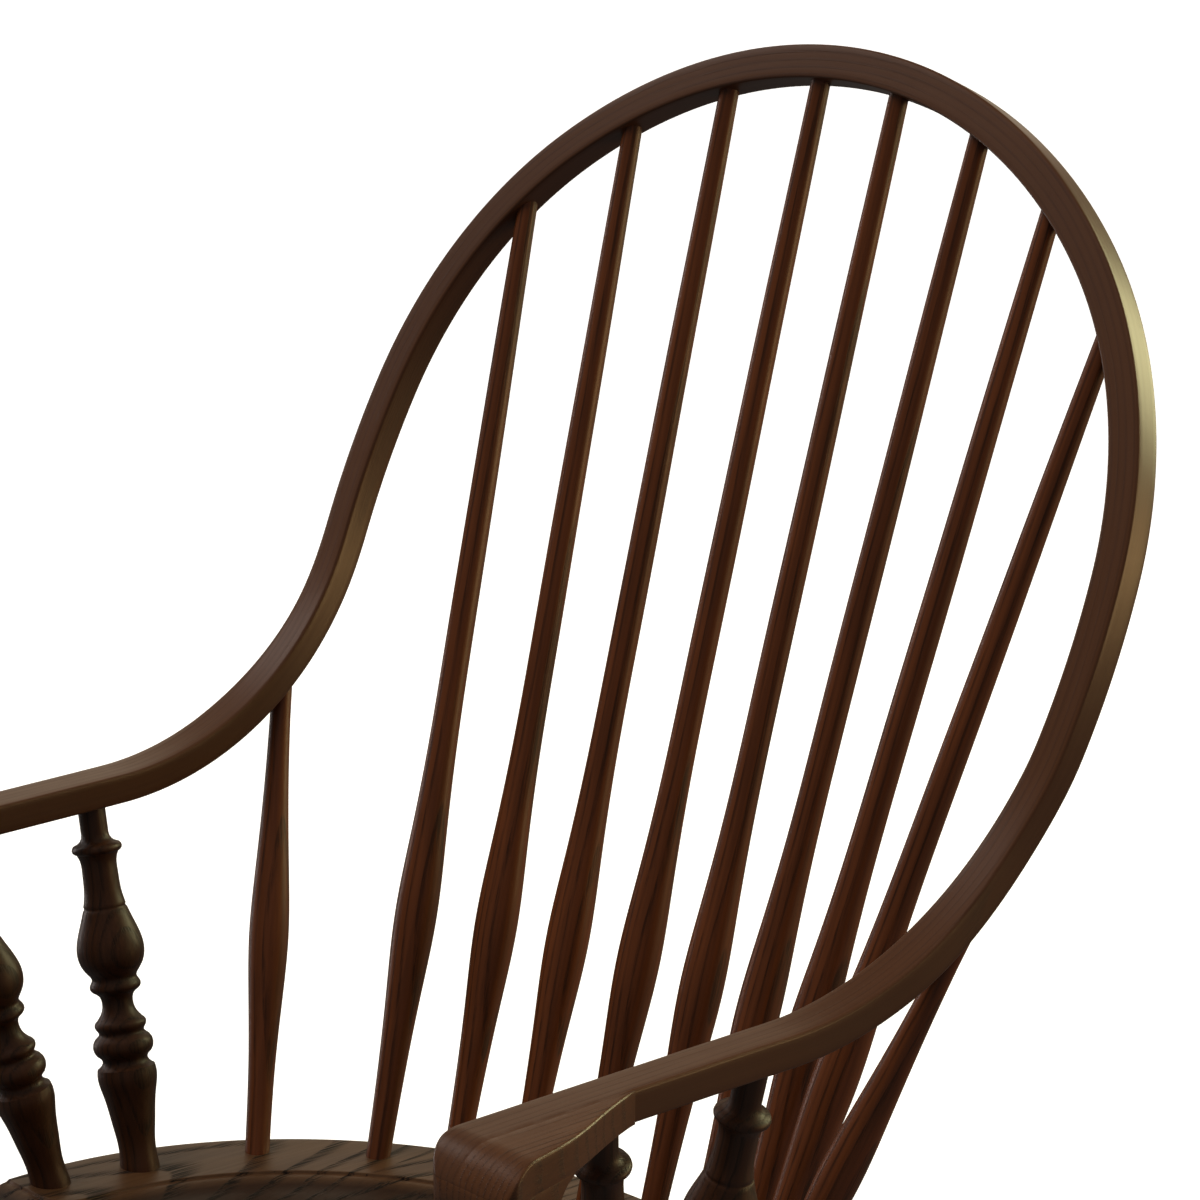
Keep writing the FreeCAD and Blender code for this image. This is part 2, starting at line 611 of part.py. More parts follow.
def upper_parts():
    """Everything from the seat up, in the seat's frame, and the seat still undrilled for legs."""
    nodes = {}
    seat = seat_blank()
    left_arm, cheek, block = hand_pieces()
    bow = hoop().fuse([left_arm, mirrored(left_arm)]).removeSplitter()
    seat_tools = []
    bow_tools = []

    sticks = []
    for index in range(len(LONG_SPINDLES)):
        name = "long_spindle_%s_%d" % ("%s", index + 1)
        line = long_spindle_line(index)
        sticks.append((name, long_profile(line), line, SPINDLE_TENON))
    sticks.append(("short_spindle_%s", SHORT_PROFILE, short_spindle_line(), POST_TENON))
    sticks.append(("arm_post_rear_%s", POST_PROFILE, post_line(REAR_POST), POST_TENON))
    sticks.append(("arm_post_front_%s", POST_PROFILE, post_line(FRONT_POST), POST_TENON))

    pins = [pin_for(post_line(post)) for post in (REAR_POST, FRONT_POST)]
    pin_holes = [pin_hole(pin) for pin in pins]
    for name, profile, (foot, head), head_depth in sticks:
        along = unit(foot, head)
        foot_r = profile[0][0][1] / 2
        head_r = profile[-1][-1][1] / 2
        stick = turned(profile, foot, head, FOOT_TENON, head_depth)
        if name.startswith("arm_post"):
            stick = stick.cut(pin_holes)
        nodes[name % "left"] = stick
        nodes[name % "right"] = mirrored(stick)
        seat_tools.append(drill(foot, along * -1, foot_r, FOOT_TENON))
        bow_tools.append(drill(head, along, head_r, head_depth))
    bow_tools += pin_holes
    nodes["bow"] = bow.cut(bow_tools + [mirrored(tool) for tool in bow_tools])
    nodes["hand_cheek_left"] = cheek
    nodes["hand_cheek_right"] = mirrored(cheek)
    nodes["hand_block_left"] = block
    nodes["hand_block_right"] = mirrored(block)
    nodes["arm_pins"] = Part.makeCompound(pins + [mirrored(pin) for pin in pins])
    nodes["seat"] = seat.cut(seat_tools + [mirrored(tool) for tool in seat_tools])
    return nodes


def pin_hole(pin):
    """The hole for a pin: the pin itself, a little fatter and longer."""
    box = pin.BoundBox
    lead = 2.0
    start = Vector(box.XMin - lead, box.Center.y, box.Center.z)
    return Part.makeCylinder(PIN_R + FIT, lead + PIN_LENGTH + FIT, start, Vector(1, 0, 0))


def under_parts(seat):
    """Legs, stretchers, rockers and pegs, stood on the floor, and the seat drilled for them."""
    nodes = {}
    blank = rocker_blank()
    rocker_tools = []
    seat_tools = []
    legs = {}
    for name, top, foot_y in (("front", FRONT_LEG_TOP, FRONT_LEG_Y), ("rear", REAR_LEG_TOP, REAR_LEG_Y)):
        leg, seat_tool, rocker_tool = leg_and_cuts(top, foot_y, blank)
        legs[name] = leg.cut(peg_hole(foot_y))
        seat_tools.append(seat_tool)
        rocker_tools += [rocker_tool, peg_hole(foot_y)]

    front = point_on(leg_line(FRONT_LEG_TOP, FRONT_LEG_Y), SIDE_STRETCHER)
    rear = point_on(leg_line(REAR_LEG_TOP, REAR_LEG_Y), SIDE_STRETCHER)
    leg_r = profile_radius(LEG_PROFILE, SIDE_STRETCHER) - SIDE_BURY
    side, (front_tool, rear_tool) = stretcher(front, rear, leg_r, leg_r, STRETCHER_PROFILE)
    legs["front"] = legs["front"].cut(front_tool)
    legs["rear"] = legs["rear"].cut(rear_tool)

    middle = (front + rear) * 0.5
    side_r = profile_radius(STRETCHER_PROFILE, 0.5) - CROSS_BURY
    opposite = Vector(-middle.x, middle.y, middle.z)
    cross, cross_tools = stretcher(opposite, middle, side_r, side_r, STRETCHER_PROFILE)
    side = side.cut(cross_tools[1])

    rocker = blank.cut(rocker_tools)
    pegs = [peg_for(FRONT_LEG_Y), peg_for(REAR_LEG_Y)]
    for name, leg in legs.items():
        nodes["leg_%s_left" % name] = leg
        nodes["leg_%s_right" % name] = mirrored(leg)
    nodes["side_stretcher_left"] = side
    nodes["side_stretcher_right"] = mirrored(side)
    nodes["cross_stretcher"] = cross
    nodes["rocker_left"] = rocker
    nodes["rocker_right"] = mirrored(rocker)
    nodes["rocker_pegs"] = Part.makeCompound(pegs + [mirrored(peg) for peg in pegs])
    nodes["seat"] = seat.cut(seat_tools + [mirrored(tool) for tool in seat_tools])
    return nodes


def main():
    upper = {name: stand(shape) for name, shape in upper_parts().items()}
    nodes = dict(upper)
    nodes.update(under_parts(upper["seat"]))
    box = Part.makeCompound(list(nodes.values())).BoundBox
    centre = Vector(-box.Center.x, -box.Center.y, -box.ZMin)
    os.makedirs("parts", exist_ok=True)
    for name, shape in sorted(nodes.items()):
        placed = shape.translated(centre)
        placed.exportStep("parts/%s.step" % name)
        print("%-24s solids %d  volume %.1f cm3" % (name, len(placed.Solids), placed.Volume / 1000))
    print("moved by", centre, "box", box.XLength, box.YLength, box.ZLength)


main()
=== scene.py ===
import math
import random

import bpy
import numpy as np
from mathutils import Matrix, Vector


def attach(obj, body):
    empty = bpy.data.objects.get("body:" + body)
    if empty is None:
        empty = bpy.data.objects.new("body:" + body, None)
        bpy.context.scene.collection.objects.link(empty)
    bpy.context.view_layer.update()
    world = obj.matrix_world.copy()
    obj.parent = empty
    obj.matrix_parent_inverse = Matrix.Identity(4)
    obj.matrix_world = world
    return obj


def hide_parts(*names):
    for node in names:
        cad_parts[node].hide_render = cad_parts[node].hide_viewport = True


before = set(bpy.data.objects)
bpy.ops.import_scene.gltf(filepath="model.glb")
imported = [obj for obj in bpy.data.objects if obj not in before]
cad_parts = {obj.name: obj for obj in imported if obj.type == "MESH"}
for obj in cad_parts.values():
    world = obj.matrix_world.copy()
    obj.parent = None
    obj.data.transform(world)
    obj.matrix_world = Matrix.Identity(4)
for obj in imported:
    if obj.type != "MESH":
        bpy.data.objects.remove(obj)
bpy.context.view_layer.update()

# A continuous-arm rocking chair, in metres.  The upper part is worked out in the seat's
# own frame, where the spindle deck is z = 0, and then stood on the floor.

# ---- stance -------------------------------------------------------------------------
SEAT_TILT = 2.4            # degrees the deck leans back
DECK_HEIGHT = 0.432
BALANCE_Y = 0.0153         # the rocking centre, in the seat's frame
CHAIR_SHIFT = Vector((0, -0.064714, 0))

# ---- bent strip ---------------------------------------------------------------------
STRIP_T = 0.0175
STRIP_W = 0.020
ARM_W = 0.0245
BACK_LEAN = 23.2
ARM_FALL = 2.1
BEND_R = 0.201
BEND_Y = 0.121
BEND_Z = 0.264
CROWN_TOP = 0.438
INNER_ARCS = ((0.304, 41.8), (0.2445, 42.2), (0.495, 12.8), (-2.008, -6.8))
WIDEN_FROM = 0.075
WIDEN_TO = -0.035
STRIP_EASE = 0.0016        # radius of the strip's eased edges

# ---- hands --------------------------------------------------------------------------
FLAT_END_Y = -0.184
NOSE_R = 0.023
HAND_T = 0.046
FLARE = ((0.2924, -0.086), (0.2965, -0.103), (0.3045, -0.1225), (0.315, -0.146),
         (0.322, -0.168), (0.3265, -0.187), (0.3305, -0.200))
BLOCK_LINE = ((0.0175, -0.150), (0.022, -0.157), (0.030, -0.165), (0.038, -0.171),
              (0.046, -0.176))
INNER_CORNER = 0.015       # corners of the hand seen from above
OUTER_CORNER = 0.007
BLOCK_EASE = 0.0035        # the block's lower corners
HAND_FROM_Y = -0.080       # where the hand's own sections begin
THINNEST = 0.0004          # sections thinner than this are left out
THINNEST_BLOCK = 0.0003
FLARE_SEEN_X = 0.2965      # past this the strip's outer corners carry no easing

# ---- seat ---------------------------------------------------------------------------
SEAT_T = 0.044
SEAT_EDGE = 0.026
SEAT_BEVEL = 0.030
SEAT_CY = -0.0485
SEAT_A = 0.2635
SEAT_B = 0.2515
SEAT_FRONT = ((0.2585, -0.120), (0.241, -0.186), (0.205, -0.233), (0.150, -0.254),
              (0.0, -0.264))
SEAT_ROUND = 0.004         # radius of the rounded upper edge
SEAT_MIDDLE = (0.0, -0.120)    # where the rays of the seat's mesh start
BOARD_W = 0.135            # the glued boards of the plank
DECK_A = 0.208
DECK_B = 0.198
DECK_END_Y = -0.074
DECK_STEP = 0.0016         # a crisp step, a narrow ledge and then the scoop of the saddle
LEDGE = 0.0026
SCOOP_DEPTH = 0.0024
BOWL_DEPTH = 0.012
LEG_DEPTH = 0.007
FRONT_DEPTH = 0.008
POMMEL = 0.005
BOWL_RUN = 0.42
THIGH_X = 0.112
THIGH_SPREAD = 0.058
RIDGE_SPREAD = 0.036
FRONT_FROM = -0.060
FRONT_RUN = 0.110
DECK_CORNER = 0.022        # rounds the corner between the deck's arc and its straight end
FLAT_RIM = 0.965           # part of a ray past which the top no longer counts as deck

# ---- rockers ------------------------------------------------------------------------
ROCKER_X = 0.230
ROCKER_R = 1.050
ROCKER_H = 0.042
ROCKER_T = 0.026
ROCKER_FORE = 0.340
ROCKER_AFT = 0.440
ROCKER_TIP = 0.92          # reach of a rounded tip, in half heights
ROCKER_EASE = 0.003

# ---- tenons: depth at the foot and at the head ----------------------------------------
LONG_TENONS = (0.020, 0.013)
UPPER_TENONS = (0.020, 0.012)      # the short spindles and the arm posts
LEG_TENONS = (0.027, 0.022)
STRETCHER_TENONS = (0.015, 0.015)

# ---- meshes ---------------------------------------------------------------------------
CORNER_STEPS = 4
SIDE_STEPS = 5
STICK_FACETS = 48
TURNING_FACETS = 64
HOOP_STEP = 0.005
ARM_STEP = 0.004
TURNED_STEP = 0.0016
TOP_RINGS = 44             # rings of the seat: the top, the deck's step, the deck's edge
STEP_RINGS = 18
DECK_RINGS = 8
RIM = TOP_RINGS + STEP_RINGS + DECK_RINGS
ROUND_RINGS = 6
SEAT_RINGS = RIM + 18

# ---- turned profiles: runs of (part of the length, diameter in mm) -------------------
# The long spindles swell at one height: (mm from the foot, diameter), then parts of the rest.
LONG_SWELL = ((0.0, 14.6), (46.0, 16.6), (95.0, 20.8), (144.0, 25.3), (194.0, 21.4), (244.0, 17.4))
LONG_TAPER = ((0.22, 15.9), (0.47, 14.9), (0.74, 13.4), (1.0, 11.5))
SHORT_PROFILE = (((0.0, 14.4), (0.2, 16.4), (0.33, 20.6), (0.46, 23.6), (0.59, 20.4),
                  (0.73, 15.8), (0.84, 13.4), (0.92, 12.4)),
                 ((0.92, 12.4), (1.0, 12.4)))
POST_PROFILE = (
    ((0.0, 23.2), (0.055, 22.0), (0.12, 25.4), (0.2, 31.0), (0.26, 35.0), (0.275, 34.0)),
    ((0.275, 34.0), (0.284, 29.0), (0.297, 26.6), (0.306, 28.6)),
    ((0.306, 28.6), (0.314, 32.6), (0.338, 35.8), (0.357, 32.6), (0.365, 28.6)),
    ((0.365, 28.6), (0.371, 26.8), (0.38, 28.0)),
    ((0.38, 28.0), (0.388, 30.2), (0.4, 30.2), (0.408, 27.0)),
    ((0.408, 27.0), (0.43, 20.4), (0.453, 18.4), (0.476, 20.8), (0.487, 27.0)),
    ((0.487, 27.0), (0.494, 29.8), (0.505, 30.0), (0.514, 28.0)),
    ((0.514, 28.0), (0.522, 26.6), (0.532, 28.2)),
    ((0.532, 28.2), (0.56, 36.4), (0.604, 39.8), (0.645, 36.2), (0.69, 29.4), (0.711, 26.4)),
    ((0.711, 26.4), (0.717, 24.6), (0.723, 25.2)),
    ((0.723, 25.2), (0.755, 22.4), (0.811, 21.2), (0.855, 22.8), (0.866, 25.0)),
    ((0.866, 25.0), (0.871, 28.6), (0.881, 29.8), (0.89, 27.6)),
    ((0.89, 27.6), (0.899, 20.0), (0.912, 16.8), (0.93, 16.4)),
    ((0.93, 16.4), (1.0, 16.4)))
LEG_PROFILE = (
    ((0.0, 23.0), (0.06, 23.6), (0.14, 27.4), (0.23, 35.4), (0.3, 41.0), (0.335, 41.4)),
    ((0.335, 41.4), (0.344, 35.0), (0.352, 32.0), (0.36, 34.6)),
    ((0.36, 34.6), (0.367, 39.2), (0.382, 42.4), (0.397, 39.2), (0.404, 34.6)),
    ((0.404, 34.6), (0.41, 32.6), (0.418, 34.2)),
    ((0.418, 34.2), (0.425, 37.2), (0.434, 37.2), (0.441, 34.0)),
    ((0.441, 34.0), (0.46, 26.6), (0.478, 24.6), (0.496, 26.8), (0.508, 34.0)),
    ((0.508, 34.0), (0.514, 37.0), (0.523, 37.2), (0.53, 34.8)),
    ((0.53, 34.8), (0.537, 32.8), (0.546, 35.0)),
    ((0.546, 35.0), (0.575, 43.6), (0.612, 47.0), (0.655, 43.4), (0.71, 35.0), (0.728, 32.6)),
    ((0.728, 32.6), (0.733, 31.0), (0.738, 31.6)),
    ((0.738, 31.6), (0.79, 27.4), (0.86, 26.6), (0.915, 28.8), (0.925, 31.0)),
    ((0.925, 31.0), (0.931, 34.6), (0.941, 35.8), (0.951, 33.0)),
    ((0.951, 33.0), (0.962, 26.4), (0.972, 25.0)),
    ((0.972, 25.0), (1.0, 25.0)))
STRETCHER_PROFILE = (
    ((0.0, 14.0), (0.1, 15.6), (0.25, 20.4), (0.36, 25.0), (0.385, 25.6)),
    ((0.385, 25.6), (0.392, 22.4), (0.401, 24.0)),
    ((0.401, 24.0), (0.45, 31.6), (0.5, 34.0), (0.55, 31.6), (0.599, 24.0)),
    ((0.599, 24.0), (0.608, 22.4), (0.615, 25.6)),
    ((0.615, 25.6), (0.64, 25.0), (0.75, 20.4), (0.9, 15.6), (1.0, 14.0)))

# ---- camera -------------------------------------------------------------------------
CAMERA_AIM = Vector((0.0, 0.0928, 0.7985))
CAMERA_AZIMUTH = 48.04
CAMERA_PITCH = 16.11
CAMERA_DISTANCE = 2.567
CAMERA_LENS = 138.9


# ---- shader expressions -------------------------------------------------------------
class Value:
    """An output of a material's node; arithmetic on it adds the Math nodes."""

    def __init__(self, tree, socket):
        self.tree = tree
        self.socket = socket

    def math(self, operation, *others):
        inputs = dict(enumerate((self,) + others))
        return self.tree.node("ShaderNodeMath", {"operation": operation}, inputs)

    def __add__(self, other):
        return self.math("ADD", other)

    def __sub__(self, other):
        return self.math("SUBTRACT", other)

    def __mul__(self, other):
        return self.math("MULTIPLY", other)

    def __rsub__(self, other):
        return (self * -1.0) + other

    __radd__ = __add__
    __rmul__ = __mul__

    def ramp(self, low, high):
        """0 below low, 1 above high, smooth between."""
        settings = {"interpolation_type": "SMOOTHSTEP"}
        inputs = {"Value": self, "From Min": low, "From Max": high}
        return self.tree.node("ShaderNodeMapRange", settings, inputs)


class Finish:
    """A material under construction."""

    def __init__(self, name):
        self.material = bpy.data.materials.new(name)
        self.material.use_nodes = True
        self.nodes = self.material.node_tree.nodes
        self.links = self.material.node_tree.links
        self.shader = self.nodes["Principled BSDF"]

    def node(self, kind, settings=None, inputs=None, output=0):
        """Adds a node: its settings first, then the values or links of its sockets."""
        made = self.nodes.new(kind)
        for key, value in (settings or {}).items():
            setattr(made, key, value)
        for key, value in (inputs or {}).items():
            self.feed(made.inputs[key], value)
        return Value(self, made.outputs[output])

    def feed(self, socket, value):
        if isinstance(value, Value):
            self.links.new(value.socket, socket)
        else:
            socket.default_value = value

    def vector(self, operation, a, b):
        return self.node("ShaderNodeVectorMath", {"operation": operation}, {0: a, 1: b})

    def mix(self, factor, a, b, blend="MIX"):
        """Mixes two colours."""
        made = self.nodes.new("ShaderNodeMix")
        made.data_type = "RGBA"
        made.blend_type = blend
        for index, value in ((0, factor), (6, a), (7, b)):
            self.feed(made.inputs[index], value)
        return Value(self, made.outputs[2])

    def noise(self, place, scale, detail=2.0, roughness=0.5):
        inputs = {"Vector": place, "Scale": scale, "Detail": detail, "Roughness": roughness}
        return self.node("ShaderNodeTexNoise", {}, inputs)


def linear(red, green, blue):
    """A colour given as 0 to 255 on a screen, as the shader needs it."""
    channels = []
    for channel in (red, green, blue):
        part = channel / 255
        channels.append(part / 12.92 if part <= 0.04045 else ((part + 0.055) / 1.055) ** 2.4)
    return (*channels, 1.0)


def stained_wood(name, light, dark, pore, ring_mm=4.5, pores=0.6, roughness=0.42, coat=0.12,
                 boards=False):
    """Open-grained wood under a dark stain and a thin satin lacquer.

    The grain follows the mesh's own "wood" coordinates, in metres, with z along it.  Where the
    seat is carved, its colour is multiplied darker: painted shade of the saddle.
    """
    finish = Finish(name)
    wood = finish.node("ShaderNodeAttribute", {"attribute_name": "wood"}, {}, 1)
    slow = finish.vector("MULTIPLY", wood, (1.0, 1.0, 0.10))
    streaky = finish.vector("MULTIPLY", wood, (1.0, 1.0, 0.024))
    drift = finish.noise(slow, 14.0, 3.0)
    across = finish.node("ShaderNodeSeparateXYZ", {}, {0: wood})
    patch = finish.noise(wood, 9.0, 2.0)
    if boards:
        distance, board_tone = flat_sawn(finish, wood, across)
        patch = patch * 0.6 + board_tone * 0.4
        distance = distance + drift * 0.012
    else:
        distance = across + drift * 0.016
    ring = (distance * (1000.0 / ring_mm)).math("FRACT")
    early = ring.ramp(0.0, 0.06) * (1.0 - ring.ramp(0.14, 0.46))
    fine = finish.noise(streaky, 900.0, 2.0, 0.6)
    lines = finish.noise(streaky, 380.0, 2.0, 0.55)
    pore_mask = (fine.ramp(0.40, 0.58) * early + fine.ramp(0.64, 0.74) * 0.5) * pores
    tone = lines.ramp(0.30, 0.72) * 0.40 + early * 0.30 + patch.ramp(0.3, 0.7) * 0.30
    body = finish.mix(tone, light, dark)
    if boards:
        # painted shade: the carved saddle's colour is multiplied darker than the deck's
        carved = finish.node("ShaderNodeAttribute", {"attribute_name": "carved"}, {}, 2)
        body = finish.mix(carved, body, (0.30, 0.25, 0.23, 1.0), "MULTIPLY")
    colour = finish.mix(pore_mask.math("MINIMUM", 1.0), body, pore)
    finish.feed(finish.shader.inputs["Base Color"], colour)
    satin = pore_mask * 0.25 + (patch - 0.5) * 0.16 + (lines - 0.5) * 0.10
    finish.feed(finish.shader.inputs["Roughness"], satin + roughness)
    finish.feed(finish.shader.inputs["Coat Weight"], coat)
    finish.feed(finish.shader.inputs["Coat Roughness"], 0.25)
    finish.feed(finish.shader.inputs["Specular IOR Level"], 0.42)
    handled = finish.noise(wood, 60.0, 2.0)
    height = handled * 0.35 + lines * 0.15 - pore_mask * 0.6
    relief = {"Strength": 0.4, "Distance": 0.0006, "Height": height}
    bump = finish.node("ShaderNodeBump", {}, relief)
    finish.feed(finish.shader.inputs["Normal"], bump)
    return finish.material


def flat_sawn(finish, wood, across):
    """Distance from the pith in each of the seat's glued boards, and a tone for each board."""
    place = across * (1 / BOARD_W)
    number = place.math("FLOOR")
    chance = finish.node("ShaderNodeTexWhiteNoise", {"noise_dimensions": "1D"}, {"W": number})
    sideways = (place - number - 0.5 + (chance - 0.5) * 0.4) * BOARD_W
    along = finish.node("ShaderNodeSeparateXYZ", {}, {0: wood}, 2)
    deep = (along + chance * 0.8).math("FRACT") * 0.11 + 0.006
    return (sideways * sideways + deep * deep).math("SQRT"), chance


def plug_wood(name, colour):
    """End grain of a small pin or peg, on a node that has no wood coordinates."""
    finish = Finish(name)
    place = finish.node("ShaderNodeTexCoord", {}, {}, 3)
    speck = finish.noise(place, 1400.0, 2.0)
    darker = tuple(channel * 0.45 for channel in colour[:3]) + (1.0,)
    mottled = finish.mix(speck.ramp(0.35, 0.7), colour, darker)
    finish.feed(finish.shader.inputs["Base Color"], mottled)
    finish.feed(finish.shader.inputs["Roughness"], speck * 0.3 + 0.4)
    bump = finish.node("ShaderNodeBump", {}, {"Strength": 0.3, "Distance": 0.0003, "Height": speck})
    finish.feed(finish.shader.inputs["Normal"], bump)
    return finish.material


# ---- curves -------------------------------------------------------------------------
def spline(points, count, start=None, end=None):
    """Cubic spline through the points, sampled evenly; end slopes are free unless given."""
    points = np.array(points, float)
    chord = np.linalg.norm(np.diff(points, axis=0), axis=1)
    knots = np.concatenate(([0.0], np.cumsum(chord)))
    size = len(points)
    matrix = np.zeros((size, size))
    right = np.zeros((size, points.shape[1]))
    for k in range(1, size - 1):
        matrix[k, k - 1] = 1 / chord[k - 1]
        matrix[k, k + 1] = 1 / chord[k]
        matrix[k, k] = 2 * (matrix[k, k - 1] + matrix[k, k + 1])
        right[k] = 3 * ((points[k] - points[k - 1]) / chord[k - 1] ** 2
                        + (points[k + 1] - points[k]) / chord[k] ** 2)
    for row, near, slope in ((0, 1, start), (size - 1, size - 2, end)):
        matrix[row, row] = 1.0
        if slope is not None:
            right[row] = slope
            continue
        matrix[row, row] = 2.0
        matrix[row, near] = 1.0
        low = min(row, near)
        right[row] = 3 * (points[low + 1] - points[low]) / chord[low]
    slopes = np.linalg.solve(matrix, right)
    result = []
    for place in np.linspace(0, knots[-1], count):
        k = min(int(np.searchsorted(knots, place, side="right")) - 1, size - 2)
        h = chord[k]
        u = (place - knots[k]) / h
        result.append((2 * u**3 - 3 * u**2 + 1) * points[k] + (u**3 - 2 * u**2 + u) * h * slopes[k]
                      + (3 * u**2 - 2 * u**3) * points[k + 1] + (u**3 - u**2) * h * slopes[k + 1])
    return np.array(result)


def smooth(value):
    value = min(max(value, 0.0), 1.0)
    return value * value * (3 - 2 * value)


# ---- meshes -------------------------------------------------------------------------
def stood():
    """The seat's frame, stood on the floor."""
    place = Matrix.Translation(CHAIR_SHIFT + Vector((0, 0, DECK_HEIGHT)))
    return place @ Matrix.Rotation(math.radians(-SEAT_TILT), 4, "X")


def piece(name, points, faces, wood, material, nodes, place=None):
    """A finished object: mesh, wood coordinates, material, and what it stands for."""
    mesh = bpy.data.meshes.new(name)
    mesh.from_pydata([tuple(point) for point in points], [], faces)
    mesh.transform(place or Matrix.Identity(4))
    mesh.update()
    mesh.polygons.foreach_set("use_smooth", [True] * len(mesh.polygons))
    mesh.set_sharp_from_angle(angle=math.radians(38))
    lottery = random.Random(name)
    offset = np.array([lottery.uniform(0.1, 3.0) for _ in range(3)])
    layer = mesh.attributes.new("wood", "FLOAT_VECTOR", "POINT")
    layer.data.foreach_set("vector", (np.array(wood, float) + offset).ravel())
    mesh.materials.append(material)
    made = bpy.data.objects.new(name, mesh)
    bpy.context.collection.objects.link(made)
    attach(made, "root")
    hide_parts(*nodes)
    return made


def skin(rings):
    """Quads between rings of equally many points, with the end rings closed."""
    size = len(rings[0])
    faces = []
    for k in range(len(rings) - 1):
        for j in range(size):
            i = (j + 1) % size
            faces.append((k * size + j, k * size + i, (k + 1) * size + i, (k + 1) * size + j))
    last = (len(rings) - 1) * size
    faces.append(tuple(reversed(range(size))))
    faces.append(tuple(range(last, last + size)))
    return faces


def axis_of(node):
    """Centres of the two end caps of a CAD stick, lowest first."""
    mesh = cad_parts[node].data
    points = np.empty(len(mesh.vertices) * 3)
    mesh.vertices.foreach_get("co", points)
    points = points.reshape(-1, 3)
    world = np.array(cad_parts[node].matrix_world)
    points = points @ world[:3, :3].T + world[:3, 3]
    middle = points.mean(axis=0)
    along = np.linalg.svd(points - middle, full_matrices=False)[2][0]
    for _ in range(3):
        reach = (points - middle) @ along
        ends = []
        for level in (reach.min(), reach.max()):
            cap = points[np.abs(reach - level) < 0.0008]
            ends.append(circle_centre(cap, along))
        along = (ends[1] - ends[0]) / np.linalg.norm(ends[1] - ends[0])
    ends.sort(key=lambda end: (round(end[2], 3), end[1]))
    return Vector(ends[0]), Vector(ends[1])


def circle_centre(cap, along):
    """Centre of the circle that the outermost points of a flat cap lie on."""
    rough = cap.mean(axis=0)
    radius = np.linalg.norm(cap - rough, axis=1)
    rim = cap[radius > radius.max() * 0.8]
    side = np.cross(along, [0.0, 0.0, 1.0] if abs(along[2]) < 0.9 else [1.0, 0.0, 0.0])
    side /= np.linalg.norm(side)
    other = np.cross(along, side)
    u = (rim - rough) @ side
    v = (rim - rough) @ other
    system = np.stack([2 * u, 2 * v, np.ones(len(u))], axis=1)
    centre = np.linalg.lstsq(system, u**2 + v**2, rcond=None)[0]
    return rough + side * centre[0] + other * centre[1]


def long_profile(length):
    """The profile of a long spindle, with its swell at the common height."""
    swell_end = LONG_SWELL[-1][0]
    total = length * 1000
    run = [(reach / total, d) for reach, d in LONG_SWELL]
    run += [((swell_end + part * (total - swell_end)) / total, d) for part, d in LONG_TAPER]
    return (run,)


def lathe(node, runs, tenons, material, around=TURNING_FACETS):
    """A turned stick in place of its CAD node, with its tenons; no runs: a long spindle."""
    foot_tenon, head_tenon = tenons
    foot, head = axis_of(node)
    length = (head - foot).length - foot_tenon - head_tenon
    runs = runs or long_profile(length)
    stations = [(-foot_tenon, runs[0][0][1] / 2000)]
    for run in runs:
        span = (run[-1][0] - run[0][0]) * length
        count = max(2 if len(run) == 2 else 6, int(span / TURNED_STEP))
        samples = spline([(part * length, d / 2000) for part, d in run], count)
        stations += [(s, r) for s, r in samples if s > stations[-1][0] + 1e-5]
    stations.append((length + head_tenon, runs[-1][-1][1] / 2000))
    lottery = random.Random(node)
    phase = [lottery.uniform(0, math.tau) for _ in range(3)]
    rings = []
    for s, r in stations:
        sway = 0.00012 * math.sin(s * 31 + phase[0])
        ring = []
        for k in range(around):
            turn = math.tau * k / around
            oval = 0.0001 * math.sin(2 * turn + phase[1] + s * 5)
            ring.append(((r + oval) * math.cos(turn) + sway, (r + oval) * math.sin(turn), s))
        rings.append(ring)
    points = [point for ring in rings for point in ring]
    turn = Vector((0, 0, 1)).rotation_difference(head - foot)
    start = foot + (head - foot).normalized() * foot_tenon
    place = Matrix.Translation(start) @ turn.to_matrix().to_4x4()
    piece(node + "_turned", points, skin(rings), points, material, [node], place)


# ---- the sheet that the bent strip lies on ------------------------------------------
def side_line(t):
    """Point and direction of the strip's front face seen from the side."""
    high = math.radians(90 - BACK_LEAN)
    low = math.radians(ARM_FALL)
    half = BEND_R * (high - low) / 2
    held = min(max(t, -half), half)
    turn = low + (held + half) / BEND_R
    middle = (high + low) / 2
    y = BEND_Y + BEND_R * (math.sin(turn) - math.sin(middle)) + (t - held) * math.cos(turn)
    z = BEND_Z - BEND_R * (math.cos(turn) - math.cos(middle)) + (t - held) * math.sin(turn)
    return y, z, turn


def on_sheet(x, t, depth=0.0):
    y, z, turn = side_line(t)
    return (x, y + depth * math.sin(turn), z - depth * math.cos(turn))


def arm_t(y):
    """Distance along the sheet of a point of the straight arm at the seat's y."""
    half = BEND_R * math.radians(90 - BACK_LEAN - ARM_FALL) / 2
    return -half + (y - side_line(-half)[0]) / math.cos(math.radians(ARM_FALL))


def inner_edge(step):
    """Stations down one side of the hoop's inner edge: (x, t, heading in degrees)."""
    stations = []
    x, t, last = 0.0, CROWN_TOP, 0.0
    for radius, angle in INNER_ARCS:
        count = max(4, round(math.radians(angle) * radius / step))
        for _ in range(count):
            stations.append((x, t, last))
            new = last + angle / count
            x += radius * (math.sin(math.radians(new)) - math.sin(math.radians(last)))
            t += radius * (math.cos(math.radians(new)) - math.cos(math.radians(last)))
            last = new
    stations.append((x, t, last))
    return stations


def face_width(t):
    part = smooth((WIDEN_FROM - t) / (WIDEN_FROM - WIDEN_TO))
    return STRIP_W + (ARM_W - STRIP_W) * part


